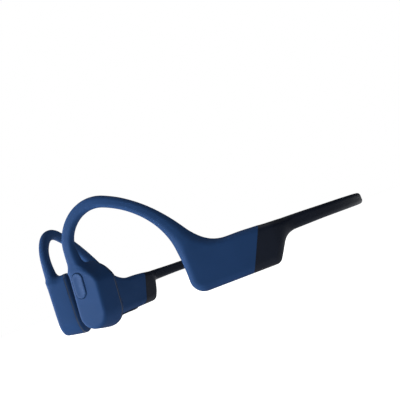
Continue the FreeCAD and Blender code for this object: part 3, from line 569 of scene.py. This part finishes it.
def strip_field(points):
    """Rubber strip under the right housing, with room for its two keys."""
    along, outward, up = points.T
    outline = pill(outward, along - STRIP_ALONG, STRIP_HALF_LENGTH, STRIP_RADIUS)
    middle = (STRIP_FLOOR + STRIP_TOP) / 2
    strip = raised(outline, up - middle, (STRIP_TOP - STRIP_FLOOR) / 2, STRIP_EDGE)
    for way in (-1, 1):
        hole = pill(outward, along - STRIP_ALONG - way * KEY_PITCH / 2,
                    KEY_HALF_LENGTH + KEY_GAP, KEY_RADIUS + KEY_GAP)
        strip = np.maximum(strip, -hole)
    return strip


def key_field(points, way):
    """One volume key: a soft pill with a shallow dish."""
    along, outward, up = points.T
    outline = pill(outward, along - STRIP_ALONG - way * KEY_PITCH / 2, KEY_HALF_LENGTH, KEY_RADIUS)
    dish = KEY_DISH * eased(-outline, *KEY_DISH_SPAN)
    height = up - KEY_TOP / 2 - np.where(up < 1, dish, 0)
    return raised(outline, height, KEY_TOP / 2, KEY_EDGE)


def strand_field(points, offset):
    """Round wire or cable inside the neckband and the mouth of the housing."""
    along, outward, up = points.T
    strand = np.hypot(outward, up - band_lift(along) - offset) - STRAND_RADIUS
    return np.maximum(strand, np.maximum(along - STRAND_REACH, APEX - along))


# ------------------------------------------------------------------ meshes from fields

CREASE = 0.05             # share of the strongest bend above which a cell is a crease
SLOPE_REACH = 0.02        # half the distance over which a field's slope is measured
CELL_REACH = 0.8          # how far a point may leave the middle of its cell, in cells
ROOT_ROUNDS = 4
FLAT = 0.05               # smallest squared slope that a point is moved along
EVENING = 0.55            # share of the way to its neighbours' middle that a point moves
SHARP_ANGLE = math.radians(38.0)
CAD_SHARP_ANGLE = math.radians(30.0)


def value_and_slope(field, points):
    """A field and its slope at each point."""
    reach = SLOPE_REACH
    slope = np.empty_like(points)
    for axis in range(3):
        shift = np.zeros(3)
        shift[axis] = reach
        slope[:, axis] = (field(points + shift) - field(points - shift)) / (2 * reach)
    return field(points), slope


def crossings(field, start, axis, step, first, last):
    """Where the field is zero on grid edges that start at the given points."""
    low = np.zeros(len(start))
    high = np.full(len(start), step)
    low_value = first.copy()
    high_value = last.copy()
    place = start.copy()
    for _ in range(ROOT_ROUNDS):
        share = low - low_value * (high - low) / (high_value - low_value)
        place[:, axis] = start[:, axis] + share
        value = field(place)
        same = (value < 0) == (low_value < 0)
        low = np.where(same, share, low)
        low_value = np.where(same, value, low_value)
        high = np.where(same, high, share)
        high_value = np.where(same, high_value, value)
        tight = np.abs(high_value - low_value) < 1e-12
        high_value = np.where(tight, low_value + 1e-9, high_value)
    return place


def contour(field, low, high, step):
    """Points and quads of the surface where a field is zero, and which points are creases."""
    low = np.asarray(low, float)
    shape = tuple(int(math.ceil((b - a) / step)) + 1 for a, b in zip(low, high))
    axes = [a + step * np.arange(count) for a, count in zip(low, shape)]
    grid = np.stack(np.meshgrid(*axes, indexing="ij"), axis=-1).reshape(-1, 3)
    values = field(grid).reshape(shape)
    cells = tuple(count - 1 for count in shape)
    owners = []
    places = []
    quads = []
    for axis in range(3):
        near = np.moveaxis(values, axis, 0)[:-1]
        far = np.moveaxis(values, axis, 0)[1:]
        found = np.argwhere((near < 0) != (far < 0))
        rest = [other for other in range(3) if other != axis]
        index = np.empty_like(found)
        index[:, axis] = found[:, 0]
        index[:, rest[0]] = found[:, 1]
        index[:, rest[1]] = found[:, 2]
        first = near[tuple(found.T)]
        last = far[tuple(found.T)]
        place = crossings(field, low + index * step, axis, step, first, last)
        around = []
        for second_shift, third_shift in ((-1, -1), (0, -1), (0, 0), (-1, 0)):
            cell = index.copy()
            cell[:, (axis + 1) % 3] += second_shift
            cell[:, (axis + 2) % 3] += third_shift
            around.append(np.ravel_multi_index(cell.T, cells, mode="clip"))
        ring = np.stack(around, axis=1)
        ring[last < 0] = ring[last < 0][:, ::-1]
        quads.append(ring)
        owners.append(ring.ravel())
        places.append(np.repeat(place, 4, axis=0))
    quads = np.concatenate(quads)
    names, owner = np.unique(np.concatenate(owners), return_inverse=True)
    place = np.concatenate(places)
    _, slope = value_and_slope(field, place)
    normal = slope / np.maximum(np.linalg.norm(slope, axis=1, keepdims=True), 1e-9)
    count = np.bincount(owner)

    def gathered(weights):
        return np.bincount(owner, weights=weights, minlength=len(names))

    middle = np.stack([gathered(place[:, axis]) / count for axis in range(3)], axis=1)
    reach = np.einsum("ij,ij->i", normal, place - middle[owner])
    matrix = np.empty((len(names), 3, 3))
    pull = np.empty((len(names), 3))
    for row in range(3):
        pull[:, row] = gathered(normal[:, row] * reach)
        for column in range(3):
            matrix[:, row, column] = gathered(normal[:, row] * normal[:, column])
    weight, direction = np.linalg.eigh(matrix)
    strong = weight > CREASE * weight[:, 2:]
    inverse = np.where(strong, 1 / np.maximum(weight, 1e-12), 0.0)
    shift = np.einsum("nij,nj,nkj,nk->ni", direction, inverse, direction, pull)
    points = middle + np.clip(shift, -CELL_REACH * step, CELL_REACH * step)
    return points, np.searchsorted(names, quads), strong.sum(axis=1) > 1


def relax(field, points, quads, creases, rounds):
    """Evens out the points between creases and settles them on the field's surface."""
    edges = np.concatenate([quads[:, [a, (a + 1) % 4]] for a in range(4)])
    one, other = np.unique(np.sort(edges, axis=1), axis=0).T
    count = (np.bincount(one, minlength=len(points))
             + np.bincount(other, minlength=len(points)))[:, None]
    free = ~creases[:, None]
    for _ in range(rounds):
        total = np.stack([np.bincount(one, points[other, axis], len(points))
                          + np.bincount(other, points[one, axis], len(points))
                          for axis in range(3)], axis=1)
        move = total / count - points
        value, slope = value_and_slope(field, points)
        square = np.maximum((slope ** 2).sum(axis=1, keepdims=True), FLAT)
        move -= slope * (move * slope).sum(axis=1, keepdims=True) / square
        points = points + free * (EVENING * move - slope * value[:, None] / square)
    return points


def build(name, field, low, high, step, place, side=LEFT, rounds=5):
    """A mesh object on a field's surface inside the box from low to high, mirrored on the right."""
    points, quads, creases = contour(field, low, high, step)
    points = place(relax(field, points, quads, creases, rounds)) * MM
    if side == RIGHT:
        points[:, 1] *= -1
        quads = quads[:, ::-1]
    mesh = bpy.data.meshes.new(name)
    mesh.from_pydata(points.tolist(), [], quads.tolist())
    mesh.validate()
    mesh.shade_smooth()
    mesh.set_sharp_from_angle(angle=SHARP_ANGLE)
    item = bpy.data.objects.new(name, mesh)
    bpy.context.scene.collection.objects.link(item)
    return item


def dress(item, slot):
    """Gives an object the material of a slot in the record."""
    item.data.materials.append(MATERIALS[slot])


# ------------------------------------------------------------------ materials

def new_material(name):
    """An empty node material with its principled shader and object coordinates."""
    material = bpy.data.materials.new(name)
    material.use_nodes = True
    tree = material.node_tree
    shader = tree.nodes["Principled BSDF"]
    place = tree.nodes.new("ShaderNodeTexCoord")
    return material, tree, shader, place.outputs["Object"]


def add_noise(tree, place, scale, detail=2.0, roughness=0.5):
    """Noise texture, with its scale in features per metre."""
    noise = tree.nodes.new("ShaderNodeTexNoise")
    noise.inputs["Scale"].default_value = scale
    noise.inputs["Detail"].default_value = detail
    noise.inputs["Roughness"].default_value = roughness
    tree.links.new(place, noise.inputs["Vector"])
    return noise.outputs["Fac"]


def ramp(tree, factor, low, high, target, start=0.3, end=0.7):
    """Colour ramp between two colours that feeds a shader input."""
    node = tree.nodes.new("ShaderNodeValToRGB")
    node.color_ramp.elements[0].position = start
    node.color_ramp.elements[1].position = end
    node.color_ramp.elements[0].color = (*low, 1)
    node.color_ramp.elements[1].color = (*high, 1)
    tree.links.new(factor, node.inputs["Fac"])
    tree.links.new(node.outputs["Color"], target)


def spread(tree, factor, low, high, target):
    """Maps a texture's value to a range that feeds a shader input."""
    node = tree.nodes.new("ShaderNodeMapRange")
    node.inputs["From Min"].default_value = 0.3
    node.inputs["From Max"].default_value = 0.7
    node.inputs["To Min"].default_value = low
    node.inputs["To Max"].default_value = high
    tree.links.new(factor, node.inputs["Value"])
    tree.links.new(node.outputs["Result"], target)


def add_bump(tree, shader, height, depth, strength):
    """Surface relief of a given depth in metres."""
    node = tree.nodes.new("ShaderNodeBump")
    node.inputs["Distance"].default_value = depth
    node.inputs["Strength"].default_value = strength
    tree.links.new(height, node.inputs["Height"])
    tree.links.new(node.outputs["Normal"], shader.inputs["Normal"])


def silicone(name, deep, light, rough, gloss):
    """Matt moulded silicone: fine grain and faint cloudiness, with gloss as its mirror share."""
    material, tree, shader, place = new_material(name)
    cloud = add_noise(tree, place, scale=70.0, detail=3.0)
    ramp(tree, cloud, deep, light, shader.inputs["Base Color"])
    handled = add_noise(tree, place, scale=180.0)
    spread(tree, handled, rough - 0.03, rough + 0.04, shader.inputs["Roughness"])
    grain = add_noise(tree, place, scale=5200.0, roughness=0.6)
    add_bump(tree, shader, grain, depth=0.00002, strength=0.35)
    shader.inputs["Specular IOR Level"].default_value = gloss
    return material


def moulded(name, deep, light, rough):
    """Moulded hard plastic with a light texture."""
    material, tree, shader, place = new_material(name)
    cloud = add_noise(tree, place, scale=220.0)
    ramp(tree, cloud, deep, light, shader.inputs["Base Color"])
    grain = add_noise(tree, place, scale=3800.0)
    spread(tree, grain, rough - 0.05, rough + 0.05, shader.inputs["Roughness"])
    add_bump(tree, shader, grain, depth=0.00001, strength=0.3)
    return material


def metal(name, deep, light, rough, stretch=(1, 1, 1)):
    """Bare metal with fine drawn or turned marks."""
    material, tree, shader, place = new_material(name)
    mapping = tree.nodes.new("ShaderNodeMapping")
    mapping.inputs["Scale"].default_value = stretch
    tree.links.new(place, mapping.inputs["Vector"])
    marks = add_noise(tree, mapping.outputs["Vector"], scale=2600.0, detail=3.0)
    ramp(tree, marks, deep, light, shader.inputs["Base Color"])
    spread(tree, marks, rough - 0.06, rough + 0.08, shader.inputs["Roughness"])
    add_bump(tree, shader, marks, depth=0.00001, strength=0.25)
    shader.inputs["Metallic"].default_value = 1.0
    return material


def circuit_board(name):
    """Green board with copper traces under the solder mask."""
    material, tree, shader, place = new_material(name)
    cells = tree.nodes.new("ShaderNodeTexVoronoi")
    cells.feature = "DISTANCE_TO_EDGE"
    cells.inputs["Scale"].default_value = 900.0
    tree.links.new(place, cells.inputs["Vector"])
    ramp(tree, cells.outputs["Distance"], (0.05, 0.20, 0.08), (0.008, 0.07, 0.03),
         shader.inputs["Base Color"], start=0.04, end=0.10)
    shader.inputs["Roughness"].default_value = 0.32
    add_bump(tree, shader, cells.outputs["Distance"], depth=0.00002, strength=0.3)
    return material


def foil(name):
    """Crinkled pouch foil of a battery cell."""
    material, tree, shader, place = new_material(name)
    creases = add_noise(tree, place, scale=600.0, detail=4.0, roughness=0.65)
    ramp(tree, creases, (0.42, 0.43, 0.45), (0.66, 0.67, 0.69), shader.inputs["Base Color"])
    spread(tree, creases, 0.25, 0.45, shader.inputs["Roughness"])
    add_bump(tree, shader, creases, depth=0.0001, strength=0.5)
    shader.inputs["Metallic"].default_value = 0.9
    return material


def open_foam(name):
    """Open-cell foam."""
    material, tree, shader, place = new_material(name)
    cells = tree.nodes.new("ShaderNodeTexVoronoi")
    cells.inputs["Scale"].default_value = 2400.0
    tree.links.new(place, cells.inputs["Vector"])
    ramp(tree, cells.outputs["Distance"], (0.03, 0.03, 0.035), (0.10, 0.10, 0.11),
         shader.inputs["Base Color"])
    shader.inputs["Roughness"].default_value = 0.95
    add_bump(tree, shader, cells.outputs["Distance"], depth=0.0001, strength=0.8)
    return material


MATERIALS = {
    "blue_silicone": silicone("BlueSilicone", (0.0080, 0.0270, 0.0790),
                              (0.0095, 0.0305, 0.0890), 0.68, 0.05),
    # button_silicone is a lighter copy of the blue silicone: the lighter tone is painted light for
    # the button's brighter lit face; its roughness and gloss are set on the shader
    "button_silicone": silicone("ButtonSiliconePaintedLight", (0.0095, 0.0300, 0.0860),
                                (0.0110, 0.0340, 0.0960), 0.62, 0.06),
    # pad_silicone is a darker copy of the blue silicone: the darkness is painted shade for the
    # occlusion between the pods, where the real pad is the same blue
    "pad_silicone": silicone("PadSiliconePaintedShade", (0.0060, 0.0190, 0.0560),
                             (0.0072, 0.0220, 0.0640), 0.72, 0.04),
    "black_silicone": silicone("BlackSilicone", (0.0022, 0.0042, 0.0100),
                               (0.0030, 0.0054, 0.0125), 0.56, 0.11),
    "light_seal": silicone("LightSeal", (0.010, 0.018, 0.036), (0.013, 0.023, 0.045),
                           0.40, 0.20),
    "case_plastic": moulded("HardPlastic", (0.012, 0.013, 0.015), (0.018, 0.019, 0.022), 0.45),
    "titanium": metal("Titanium", (0.38, 0.36, 0.34), (0.52, 0.50, 0.47), 0.32, (1, 1, 0.2)),
    "cable_jacket": moulded("CableJacket", (0.010, 0.010, 0.011), (0.016, 0.016, 0.018), 0.55),
    "steel": metal("Steel", (0.45, 0.46, 0.48), (0.62, 0.63, 0.65), 0.28, (1, 1, 0.3)),
    "copper": metal("Copper", (0.60, 0.25, 0.12), (0.78, 0.38, 0.20), 0.30, (0.2, 1, 1)),
    "magnet": metal("MagnetNickel", (0.50, 0.50, 0.50), (0.66, 0.66, 0.65), 0.22),
    "circuit_board": circuit_board("CircuitBoard"),
    "battery_foil": foil("BatteryFoil"),
    "foam": open_foam("Foam"),
    "gold_contact": metal("GoldContact", (0.80, 0.52, 0.18), (0.95, 0.70, 0.32), 0.22),
}
COATED_MESH = metal("CoatedMesh", (0.020, 0.020, 0.022), (0.050, 0.050, 0.055), 0.50)


# ------------------------------------------------------------------ pieces

def make_arm(side, word):
    """Blue arm with the seam at its rear, and the parting ring and cheek pad of its pod."""
    body = word + "_arm"
    arm = build(word + "_arm_silicone", lambda points: arm_field(points, side),
                low=(4.0, -12.0, -0.5), high=(76.0, 9.0, 46.0), step=0.4,
                place=arm_to_world, side=side)
    dress(arm, "blue_silicone")
    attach(arm, body)
    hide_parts(word + "_arm_skin", word + "_pod_shell")

    seal = build(word + "_seam_line", seal_field,
                 low=(4.0, -6.0, -0.5), high=(15.0, 6.0, 17.0), step=0.2,
                 place=arm_to_world, side=side)
    dress(seal, "black_silicone")
    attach(seal, body)
    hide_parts(word + "_seam_seal")

    ring = build(word + "_parting_ring", ring_field,
                 low=(-8.0, -4.0, -1.0), high=(8.0, -2.0, 26.0), step=0.15,
                 place=pod_to_world, side=side)
    dress(ring, "light_seal")
    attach(ring, body)
    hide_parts(word + "_pod_ring")

    cheek = build(word + "_cheek_pad", cheek_field,
                  low=(-8.0, -6.5, -1.0), high=(8.0, -2.0, 26.0), step=0.21,
                  place=pod_to_world, side=side)
    dress(cheek, "pad_silicone")
    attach(cheek, body)
    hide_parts(word + "_face_pad")


def across_flex(item):
    """Bakes a piece's placement into its mesh, leaving it at the world origin."""
    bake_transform(item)


def make_band(side, word):
    """Boot and half the neckband, with the wire and the cable inside."""
    boot = build(word + "_boot_and_band", boot_field,
                 low=(APEX - 1.0, -6.0, -0.5), high=(15.0, 6.0, 17.0), step=0.4,
                 place=arm_to_world, side=side)
    dress(boot, "black_silicone")
    across_flex(boot)
    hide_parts(word + "_rear_boot", "neckband_rear_sleeve")
    for name, offset, slot in (("wire", STRAND_OFFSET, "titanium"),
                               ("cable", -STRAND_OFFSET, "cable_jacket")):
        lift = BAND_LIFT + offset
        strand = build(f"{word}_band_{name}", lambda points: strand_field(points, offset),
                       low=(APEX - 1.0, -1.0, lift - 1.4), high=(5.0, 1.0, lift + 1.0), step=0.25,
                       place=arm_to_world, side=side, rounds=2)
        dress(strand, slot)
        across_flex(strand)
        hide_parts("neckband_" + name)


def make_controls():
    """Button on the left pod; strip and keys under the right housing."""
    button = build("multifunction_button_cap", button_field,
                   low=(0.0, 3.0, 11.5), high=(5.2, 6.0, 22.0), step=0.12, place=pod_to_world)
    dress(button, "button_silicone")
    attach(button, "multifunction_button")
    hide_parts("multifunction_button")
    strip = build("volume_key_strip", strip_field,
                  low=(15.5, -4.0, -0.5), high=(31.7, 4.0, 2.4), step=0.14,
                  place=arm_to_world, side=RIGHT)
    dress(strip, "black_silicone")
    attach(strip, "right_arm")
    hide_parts("volume_strip")
    for way, word in ((-1, "volume_down"), (1, "volume_up")):
        middle = STRIP_ALONG + way * KEY_PITCH / 2
        key = build(word + "_key", lambda points: key_field(points, way),
                    low=(middle - 2.6, -1.7, -0.5), high=(middle + 2.6, 1.7, 2.5), step=0.1,
                    place=arm_to_world, side=RIGHT)
        dress(key, "black_silicone")
        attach(key, word)
        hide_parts(word)


def finish_frame():
    """Procedural materials for every CAD node that stays visible."""
    for row in frame["record"]["subparts"]:
        mesh = frame["nodes"][row["node"]].data
        mesh.materials.clear()
        coated = row["node"] == "microphone_mesh"
        mesh.materials.append(COATED_MESH if coated else MATERIALS[row["material_slot"]])
        mesh.shade_smooth()
        mesh.set_sharp_from_angle(angle=CAD_SHARP_ANGLE)


# ------------------------------------------------------------------ floor, light and camera, metres

FLOOR_SIDE = 6.0
FLOOR_TILES = 24
FLOOR_GLOW = 0.95
STUDIO_GLOW = 0.05
CAMERA_PLACE = (0.12917, 0.22503, 0.01138)
CAMERA_TARGET = (-0.00818, 0.0, 0.03483)
CAMERA_ROLL = math.radians(20.78)
CAMERA_LENS = 55.6


def make_floor():
    """Pale floor that the headphones stand on."""
    mesh = bpy.data.meshes.new("floor")
    steps = np.linspace(-FLOOR_SIDE / 2, FLOOR_SIDE / 2, FLOOR_TILES + 1)
    corners = [(float(x), float(y), 0.0) for y in steps for x in steps]
    pitch = FLOOR_TILES + 1
    starts = [row * pitch + column for row in range(FLOOR_TILES) for column in range(FLOOR_TILES)]
    faces = [(start, start + 1, start + pitch + 1, start + pitch) for start in starts]
    mesh.from_pydata(corners, [], faces)
    floor = bpy.data.objects.new("floor", mesh)
    bpy.context.scene.collection.objects.link(floor)
    material, tree, shader, place = new_material("FloorPaper")
    cloud = add_noise(tree, place, scale=3.0)
    ramp(tree, cloud, (0.80, 0.80, 0.80), (0.84, 0.84, 0.84), shader.inputs["Base Color"])
    shader.inputs["Roughness"].default_value = 0.9
    shader.inputs["Specular IOR Level"].default_value = 0.1
    shader.inputs["Emission Color"].default_value = (1, 1, 1, 1)
    shader.inputs["Emission Strength"].default_value = FLOOR_GLOW
    mesh.materials.append(material)


def add_light(name, place, target, width, height, power):
    """Soft white rectangular light aimed at a point."""
    data = bpy.data.lights.new(name, "AREA")
    data.shape = "RECTANGLE"
    data.size = width
    data.size_y = height
    data.energy = power
    light = bpy.data.objects.new(name, data)
    light.location = place
    light.rotation_euler = (Vector(target) - Vector(place)).to_track_quat("-Z", "Y").to_euler()
    bpy.context.scene.collection.objects.link(light)


def make_world():
    """White backdrop all round, which lights the object only dimly."""
    world = bpy.data.worlds.new("studio")
    bpy.context.scene.world = world
    world.use_nodes = True
    tree = world.node_tree
    backdrop = tree.nodes["Background"]
    backdrop.inputs["Color"].default_value = (1, 1, 1, 1)
    backdrop.inputs["Strength"].default_value = 1.0
    room = tree.nodes.new("ShaderNodeBackground")
    room.inputs["Color"].default_value = (1, 1, 1, 1)
    room.inputs["Strength"].default_value = STUDIO_GLOW
    rays = tree.nodes.new("ShaderNodeLightPath")
    mix = tree.nodes.new("ShaderNodeMixShader")
    tree.links.new(rays.outputs["Is Camera Ray"], mix.inputs["Fac"])
    tree.links.new(room.outputs["Background"], mix.inputs[1])
    tree.links.new(backdrop.outputs["Background"], mix.inputs[2])
    tree.links.new(mix.outputs["Shader"], tree.nodes["World Output"].inputs["Surface"])


def make_camera():
    """Camera at the photograph's angle, rolled so that the arm climbs to the upper right."""
    place = Vector(CAMERA_PLACE)
    ahead = (Vector(CAMERA_TARGET) - place).normalized()
    level_right = ahead.cross(Vector((0, 0, 1))).normalized()
    level_up = level_right.cross(ahead)
    up = level_up * math.cos(CAMERA_ROLL) + level_right * math.sin(CAMERA_ROLL)
    right = ahead.cross(up)
    data = bpy.data.cameras.new("camera")
    data.lens = CAMERA_LENS
    data.sensor_width = 36.0
    data.clip_start = 0.01
    data.clip_end = 50.0
    camera = bpy.data.objects.new("camera", data)
    camera.matrix_world = Matrix((
        (right.x, up.x, -ahead.x, place.x),
        (right.y, up.y, -ahead.y, place.y),
        (right.z, up.z, -ahead.z, place.z),
        (0, 0, 0, 1)))
    bpy.context.scene.collection.objects.link(camera)
    bpy.context.scene.camera = camera


for side, word in SIDES:
    make_arm(side, word)
    make_band(side, word)
make_controls()
finish_frame()
make_floor()
add_light("key", place=(0.33, -0.09, 0.035), target=(0.04, 0.0, 0.015),
          width=0.30, height=0.07, power=3.0)
add_light("top", place=(0.02, 0.0, 0.80), target=(0.02, 0.0, 0.02),
          width=0.5, height=0.5, power=4.0)
bpy.context.scene.view_settings.view_transform = "Standard"
make_camera()
make_world()
